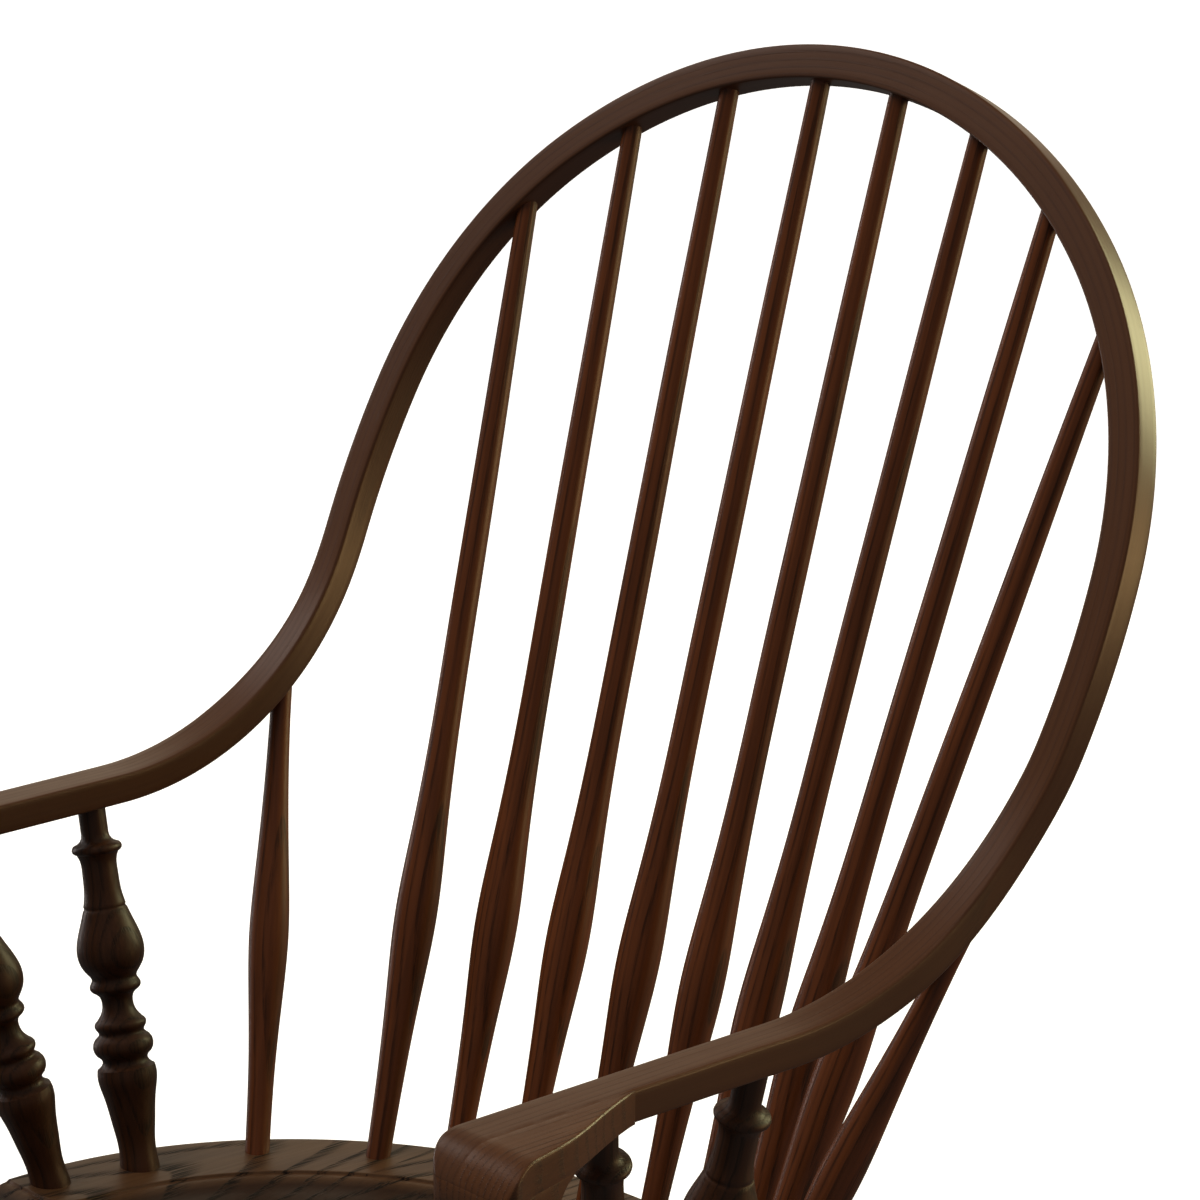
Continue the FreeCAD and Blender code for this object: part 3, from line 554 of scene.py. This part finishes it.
def eased_ring(a0, a1, b0, b1, radii):
    """A rectangle from (a0, b0) to (a1, b1) with a radius at each corner, as a loop."""
    limit = max(min(a1 - a0, b1 - b0) * 0.49, 1e-6)
    corners = ((a0, b0, 1, 1), (a1, b0, -1, 1), (a1, b1, -1, -1), (a0, b1, 1, -1))
    starts = (math.pi, 1.5 * math.pi, 0.0, 0.5 * math.pi)
    arcs = []
    for (a, b, sa, sb), radius, start in zip(corners, radii, starts):
        r = min(max(radius, 1e-6), limit)
        arc = []
        for k in range(CORNER_STEPS + 1):
            turn = start + 0.5 * math.pi * k / CORNER_STEPS
            arc.append((a + sa * r + r * math.cos(turn), b + sb * r + r * math.sin(turn)))
        arcs.append(arc)
    loop = []
    for arc, after in zip(arcs, arcs[1:] + arcs[:1]):
        loop += arc
        end, start = arc[-1], after[0]
        for k in range(1, SIDE_STEPS):
            part = k / SIDE_STEPS
            a = end[0] + (start[0] - end[0]) * part
            b = end[1] + (start[1] - end[1]) * part
            loop.append((a, b))
    return loop


class Loft:
    """Rings of points on the sheet, with wood coordinates that run along the strip."""

    def __init__(self):
        self.rings = []
        self.wood = []

    def add(self, x, t, heading, loop, run, side=1):
        out = (math.sin(math.radians(heading)), math.cos(math.radians(heading)))
        ring = [on_sheet(side * (x + a * out[0]), t + a * out[1], b) for a, b in loop]
        self.rings.append(ring)
        self.wood.append([(a, b, run) for a, b in loop])

    def build(self, name, material, nodes, flip=False):
        points = [point for ring in self.rings for point in ring]
        wood = [point for ring in self.wood for point in ring]
        faces = skin(self.rings)
        if flip:
            faces = [tuple(reversed(face)) for face in faces]
        piece(name, points, faces, wood, material, nodes, stood())


# ---- hand ---------------------------------------------------------------------------
flare_line = spline(FLARE, 60, (0, -1))
block_line = spline(BLOCK_LINE, 40)


def across_at(line, y):
    """First coordinate of a line of (value, y) points, whose y falls, at y."""
    if y >= line[0][1]:
        return line[0][0]
    for (xa, ya), (xb, yb) in zip(line, line[1:]):
        if yb <= y <= ya:
            return xa + (xb - xa) * (y - ya) / (yb - ya)
    return line[-1][0]


def roll(reach, radius):
    """How far a quarter-round of this radius has fallen, reach beyond its start."""
    reach = min(max(reach, 0.0), radius)
    return radius - math.sqrt(max(radius**2 - reach**2, 0.0))


def hand_stations():
    """The seat's y of each section, from the straight arm to the nose, closer at the end."""
    rear = list(np.arange(HAND_FROM_Y, FLAT_END_Y, -0.0025))
    front = [FLAT_END_Y - NOSE_R * math.sin(math.radians(k)) for k in range(0, 88, 3)]
    return rear + front + [FLAT_END_Y - NOSE_R * 0.9996]


def hand_limits(y, inner):
    """Inner side, outer side, top and bottom of the whole hand at y."""
    reach = FLAT_END_Y - y
    x0 = inner + roll(reach - (NOSE_R - INNER_CORNER), INNER_CORNER)
    x1 = across_at(flare_line, y) - roll(reach - (NOSE_R - OUTER_CORNER), OUTER_CORNER)
    top = roll(reach, NOSE_R)
    return x0, x1, top, HAND_T - top


def build_cheek(side, inner, material):
    """The outer piece glued beside the strip, which widens the hand."""
    loft = Loft()
    glue = inner + ARM_W
    for y in hand_stations():
        x0, x1, top, _ = hand_limits(y, inner)
        if x1 - glue < THINNEST or STRIP_T - top < THINNEST:
            continue
        loop = eased_ring(glue, x1, top, STRIP_T, (0, STRIP_EASE, 0, 0))
        loft.add(0, arm_t(y), 90, loop, y, 1 if side == "left" else -1)
    loft.build("cheek_" + side, material, ["hand_cheek_" + side], side == "right")


def build_block(side, inner, material):
    """The piece glued under the strip and the cheek, with the rolled nose."""
    loft = Loft()
    for y in hand_stations():
        if y > BLOCK_LINE[0][1]:
            continue
        x0, x1, top, bottom = hand_limits(y, inner)
        low = bottom if y < FLAT_END_Y else across_at(block_line, y)
        high = max(top, STRIP_T)
        if low - high < THINNEST_BLOCK:
            continue
        loop = eased_ring(x0, x1, high, low, (0, 0, BLOCK_EASE, BLOCK_EASE))
        loft.add(0, arm_t(y), 90, loop, y, 1 if side == "left" else -1)
    loft.build("lower_block_" + side, material, ["hand_block_" + side], side == "right")


def strip_half(side):
    """Sections of one half of the strip from the top of the hoop to the nose of the hand."""
    sections = []
    run = 0.0
    edge = inner_edge(HOOP_STEP)
    inner, bend_end, _ = edge[-1]
    arm = np.arange(bend_end - ARM_STEP, arm_t(HAND_FROM_Y), -ARM_STEP)
    path = edge + [(inner, t, 90.0) for t in arm]
    before = path[0]
    for x, t, heading in path:
        run += math.hypot(x - before[0], t - before[1])
        before = (x, t)
        loop = eased_ring(0, face_width(t), 0, STRIP_T, (STRIP_EASE,) * 4)
        sections.append((x, t, heading, loop, side * run, side))
    for y in hand_stations()[1:]:
        x0, _, top, _ = hand_limits(y, inner)
        if STRIP_T - top < THINNEST:
            break
        rear = smooth((y - BLOCK_LINE[0][1] + 0.002) / 0.004)
        flared = smooth((FLARE_SEEN_X - across_at(flare_line, y)) / 0.003)
        ease = [STRIP_EASE * part for part in (1, flared, rear * flared, rear)]
        loop = eased_ring(x0 - inner, ARM_W, top, STRIP_T, ease)
        reach = run + arm_t(HAND_FROM_Y) - arm_t(y)
        sections.append((inner, arm_t(y), 90.0, loop, side * reach, side))
    return sections, inner


def build_bow(material):
    """The whole strip, from one nose over the hoop to the other; gives the arm's inner side."""
    loft = Loft()
    right, inner = strip_half(-1)
    left, _ = strip_half(1)
    for section in right[:0:-1] + left:
        loft.add(*section)
    loft.build("bent_strip", material, ["bow"])
    return inner


# ---- seat ---------------------------------------------------------------------------
def seat_outline():
    """Points round the seat's outline."""
    rear = []
    for k in np.arange(0.25, 180, 0.75):
        turn = math.radians(k)
        rear.append((SEAT_A * math.cos(turn), SEAT_CY + SEAT_B * math.sin(turn)))
    front = spline([(SEAT_A, SEAT_CY)] + list(SEAT_FRONT), 260, (0, -1), (-1, 0))
    left = [tuple(point) for point in front]
    right = [(-x, y) for x, y in left[1:-1]]
    return left[::-1] + rear + [(-SEAT_A, SEAT_CY)] + right


def carved(x, y):
    """Distance into the carved saddle, negative on the raised deck."""
    ring = 1 - math.hypot(x / DECK_A, max(y - SEAT_CY, 0.0) / DECK_B)
    into_bowl = ring * DECK_B
    into_front = DECK_END_Y - y
    gap = max(DECK_CORNER - abs(into_bowl - into_front), 0.0) / DECK_CORNER
    return max(into_bowl, into_front) + gap * gap * DECK_CORNER * 0.25


def saddle_drop(x, y):
    """How far the top lies below the deck."""
    into = carved(x, y)
    if into < -0.002:
        return 0.0
    ahead = max(y - SEAT_CY, 0.0)
    ring = math.hypot(x / DECK_A, ahead / DECK_B)
    bowl = BOWL_DEPTH * smooth((1 - ring) / BOWL_RUN)
    thighs = LEG_DEPTH * math.exp(-((abs(x) - THIGH_X) / THIGH_SPREAD) ** 2)
    ridge = POMMEL * math.exp(-(x / RIDGE_SPREAD) ** 2)
    mix = smooth((FRONT_FROM - y) / FRONT_RUN)
    low = bowl + (FRONT_DEPTH + thighs - ridge - bowl) * mix
    step = DECK_STEP * smooth((into + 0.0004) / 0.0012)
    scoop = SCOOP_DEPTH * smooth((into - LEDGE) / 0.014)
    return step + scoop + low * smooth((into - LEDGE) / 0.004)


def build_seat(material):
    """The plank: rings of points along rays from its middle, over the edge and underneath."""
    middle = np.array(SEAT_MIDDLE)
    rings = [[] for _ in range(SEAT_RINGS)]
    for edge in seat_outline():
        edge = np.array(edge)
        share = deck_share(middle, edge)
        for k, (part, inset, z) in enumerate(seat_ray(share)):
            place = middle + (edge - middle) * part
            direction = (middle - edge) / np.linalg.norm(middle - edge)
            x, y = place + direction * inset
            drop = saddle_drop(x, y) if z is None else 0.0
            rings[k].append((x, y, -drop if z is None else z))
    level_edge(rings)
    points = [point for ring in rings for point in ring]
    wood = [(x, z, y) for x, y, z in points]
    made = piece("carved_seat", points, skin(rings), wood, material, ["seat"], stood())
    top = points[:RIM * len(rings[0])]
    # the "carved" attribute grows into the saddle; the seat's material darkens by it as painted
    # shade
    depth = [smooth((carved(x, y) - LEDGE) / 0.010) for x, y, _ in top]
    layer = made.data.attributes.new("carved", "FLOAT", "POINT")
    layer.data.foreach_set("value", depth + [0.0] * (len(points) - len(top)))


def deck_share(middle, edge):
    """Where a ray from the middle to the edge crosses onto the deck, as a part of the ray."""
    if carved(*edge) > 0:
        return FLAT_RIM
    low, high = 0.3, 1.0
    for _ in range(30):
        part = (low + high) / 2
        if carved(*(middle + (edge - middle) * part)) > 0:
            low = part
        else:
            high = part
    return min(low, FLAT_RIM)


def seat_ray(share):
    """Stops along one ray: (part of the ray, inset, height or None for the carved top)."""
    stops = []
    for k in range(1, TOP_RINGS + 1):
        stops.append((share * 0.97 * (k / TOP_RINGS) ** 0.8, 0.0, None))
    for k in range(1, STEP_RINGS + 1):
        stops.append((share * (0.97 + 0.05 * k / STEP_RINGS), 0.0, None))
    start = share * 1.02
    for k in range(1, DECK_RINGS + 1):
        stops.append((start + (1.0 - start) * k / DECK_RINGS, SEAT_ROUND * k / DECK_RINGS, None))
    for k in range(1, ROUND_RINGS + 1):
        turn = math.radians(15 * k)
        stops.append((1.0, SEAT_ROUND * (1 - math.sin(turn)), -SEAT_ROUND * (1 - math.cos(turn))))
    stops += [(1.0, 0.0, -0.010), (1.0, 0.0, -0.018), (1.0, 0.0, -SEAT_EDGE + 0.002)]
    stops += [(1.0, 0.0015, -SEAT_EDGE - 0.0007)]
    for k in range(1, 7):
        stops.append((1.0, SEAT_BEVEL * k / 6, -SEAT_EDGE - (SEAT_T - SEAT_EDGE) * k / 6))
    stops += [(0.6, SEAT_BEVEL, -SEAT_T), (0.02, 0.0, -SEAT_T)]
    return stops


def level_edge(rings):
    """Carries the carved height at the rim down through the rounded edge."""
    for j in range(len(rings[0])):
        drop = rings[RIM - 1][j][2]
        for k in range(9):
            x, y, z = rings[RIM + k][j]
            rings[RIM + k][j] = (x, y, z + drop * (1 - (k + 1) / 12))


# ---- rockers ------------------------------------------------------------------------
def build_rocker(side, material):
    """A curved board with eased edges and rounded tips."""
    middle_r = ROCKER_R - ROCKER_H / 2
    half = ROCKER_H / 2
    sign = 1 if side == "left" else -1
    fore = math.asin(ROCKER_FORE / ROCKER_R) * middle_r
    aft = math.asin(ROCKER_AFT / ROCKER_R) * middle_r
    stations = [-fore - half * math.cos(math.radians(k)) * ROCKER_TIP for k in range(4, 90, 5)]
    stations += list(np.linspace(-fore, aft, 150))
    stations += [aft + half * math.sin(math.radians(k)) * ROCKER_TIP for k in range(5, 88, 5)]
    rings = []
    wood = []
    for s in stations:
        beyond = max(-fore - s, s - aft, 0.0) / ROCKER_TIP
        height = math.sqrt(max(half**2 - beyond**2, 1e-8))
        turn = s / middle_r
        loop = eased_ring(-ROCKER_T / 2, ROCKER_T / 2, -height, height, (ROCKER_EASE,) * 4)
        ring = []
        for a, b in loop:
            r = middle_r - b
            y = BALANCE_Y + CHAIR_SHIFT.y + r * math.sin(turn)
            ring.append((sign * ROCKER_X + a, y, ROCKER_R - r * math.cos(turn)))
        rings.append(ring)
        wood.append([(a, b, s) for a, b in loop])
    points = [point for ring in rings for point in ring]
    wood = [point for ring in wood for point in ring]
    piece("rocker_board_" + side, points, skin(rings), wood, material,
          ["rocker_" + side])


# ---- stage --------------------------------------------------------------------------
def build_floor():
    """A plain pale floor that keeps its bounce off the chair's underside."""
    mesh = bpy.data.meshes.new("floor")
    mesh.from_pydata([(-40, -40, 0), (40, -40, 0), (40, 40, 0), (-40, 40, 0)], [], [(0, 1, 2, 3)])
    floor = bpy.data.objects.new("floor", mesh)
    bpy.context.collection.objects.link(floor)
    floor.visible_diffuse = False
    floor.visible_glossy = False
    finish = Finish("pale_floor")
    finish.feed(finish.shader.inputs["Base Color"], (0.86, 0.86, 0.86, 1))
    finish.feed(finish.shader.inputs["Roughness"], 1.0)
    finish.feed(finish.shader.inputs["Specular IOR Level"], 0.0)
    finish.feed(finish.shader.inputs["Emission Color"], (1, 1, 1, 1))
    finish.feed(finish.shader.inputs["Emission Strength"], 0.66)
    mesh.materials.append(finish.material)


def sky_light(name, direction, spread, power, colour):
    """An even soft light from far away, too diffuse to mirror in the lacquer."""
    lamp = bpy.data.lights.new(name, "SUN")
    lamp.angle = math.radians(spread)
    lamp.energy = power
    lamp.color = colour
    made = bpy.data.objects.new(name, lamp)
    bpy.context.collection.objects.link(made)
    made.visible_glossy = False
    made.location = Vector(direction).normalized() * 4
    made.rotation_mode = "QUATERNION"
    made.rotation_quaternion = Vector(direction).to_track_quat("Z", "Y")


def soft_light(name, direction, distance, size, power, colour):
    """A rectangular soft box that looks at the chair."""
    lamp = bpy.data.lights.new(name, "AREA")
    lamp.shape = "RECTANGLE"
    lamp.size, lamp.size_y = size
    lamp.energy = power
    lamp.color = colour
    made = bpy.data.objects.new(name, lamp)
    bpy.context.collection.objects.link(made)
    made.visible_camera = False
    aim = Vector((0, 0, 0.7))
    direction = Vector(direction).normalized()
    made.location = aim + direction * distance
    made.rotation_mode = "QUATERNION"
    made.rotation_quaternion = direction.to_track_quat("Z", "Y")


def build_world(colour, strength):
    world = bpy.data.worlds.new("studio")
    world.use_nodes = True
    background = world.node_tree.nodes["Background"]
    background.inputs["Color"].default_value = colour
    background.inputs["Strength"].default_value = strength
    bpy.context.scene.world = world


def build_camera():
    camera = bpy.data.objects.new("camera", bpy.data.cameras.new("camera"))
    bpy.context.collection.objects.link(camera)
    turn = math.radians(CAMERA_AZIMUTH)
    pitch = math.radians(CAMERA_PITCH)
    level = math.cos(pitch)
    back = Vector((math.sin(turn) * level, -math.cos(turn) * level, math.sin(pitch)))
    camera.location = CAMERA_AIM + back * CAMERA_DISTANCE
    camera.rotation_mode = "QUATERNION"
    camera.rotation_quaternion = back.to_track_quat("Z", "Y")
    camera.data.lens = CAMERA_LENS
    camera.data.sensor_width = 36.0
    camera.data.clip_end = 200.0
    bpy.context.scene.camera = camera


# ---- assembly -----------------------------------------------------------------------

bpy.context.scene.view_settings.view_transform = "Standard"
build_camera()
build_floor()
build_world((1.0, 0.93, 0.86, 1.0), 0.09)
sky_light("overhead", (0.25, -0.1, 1.0), 60, 0.3, (1.0, 0.96, 0.9))
sky_light("high_front_fill", (-0.25, -0.36, 0.90), 40, 1.45, (1.0, 0.93, 0.84))
soft_light("back_left_panel", (-0.71, 0.64, 0.28), 3.0, (2.8, 1.4), 7, (1.0, 0.86, 0.62))
soft_light("upper_left_panel", (-0.75, -0.20, 0.62), 3.0, (1.2, 0.8), 5, (1.0, 0.95, 0.90))
soft_light("left_window", (-1.0, -0.17, 0.0), 3.0, (0.3, 1.8), 8, (1.0, 0.92, 0.90))
soft_light("rear_window", (0.22, 0.92, 0.32), 3.0, (1.3, 1.5), 42, (1.0, 0.95, 0.50))
soft_light("warm_right_panel", (0.70, 0.70, 0.02), 3.0, (1.3, 0.9), 14, (1.0, 0.66, 0.28))

strip_wood = stained_wood("strip_walnut", linear(92, 58, 36), linear(78, 47, 28),
                          linear(42, 25, 15), pores=0.2, roughness=0.36)
stick_wood = stained_wood("stick_walnut", linear(118, 64, 32), linear(78, 40, 19),
                          linear(26, 13, 7), pores=0.5, roughness=0.42, coat=0.1)
post_wood = stained_wood("turning_walnut", linear(76, 44, 24), linear(48, 27, 14),
                         linear(18, 10, 6), pores=0.45, roughness=0.44, coat=0.06)
hand_wood = stained_wood("hand_walnut", linear(98, 60, 33), linear(78, 45, 23),
                         linear(36, 21, 12), pores=0.35, roughness=0.38)
seat_wood = stained_wood("seat_walnut", linear(92, 64, 41), linear(70, 47, 29),
                         linear(20, 12, 7), ring_mm=6.5, pores=1.0, roughness=0.44, coat=0.05,
                         boards=True)
rocker_wood = stained_wood("rocker_walnut", linear(80, 52, 32), linear(58, 36, 20),
                           linear(28, 17, 10), pores=0.6, roughness=0.40)
pin_wood = plug_wood("pin_end_grain", linear(36, 22, 13))

arm_inner = build_bow(strip_wood)
for hand_side in ("left", "right"):
    build_cheek(hand_side, arm_inner, hand_wood)
    build_block(hand_side, arm_inner, hand_wood)
    for number in range(1, 5):
        lathe("long_spindle_%s_%d" % (hand_side, number), None, LONG_TENONS,
              stick_wood, STICK_FACETS)
    lathe("short_spindle_" + hand_side, SHORT_PROFILE, UPPER_TENONS,
          stick_wood, STICK_FACETS)
    for place in ("front", "rear"):
        end = place + "_" + hand_side
        lathe("arm_post_" + end, POST_PROFILE, UPPER_TENONS, post_wood)
        lathe("leg_" + end, LEG_PROFILE, LEG_TENONS, post_wood)
    lathe("side_stretcher_" + hand_side, STRETCHER_PROFILE, STRETCHER_TENONS,
          post_wood)
    build_rocker(hand_side, rocker_wood)
lathe("cross_stretcher", STRETCHER_PROFILE, STRETCHER_TENONS, post_wood)
build_seat(seat_wood)
for plug in ("arm_pins", "rocker_pegs"):
    for material_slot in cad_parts[plug].material_slots:
        material_slot.material = pin_wood
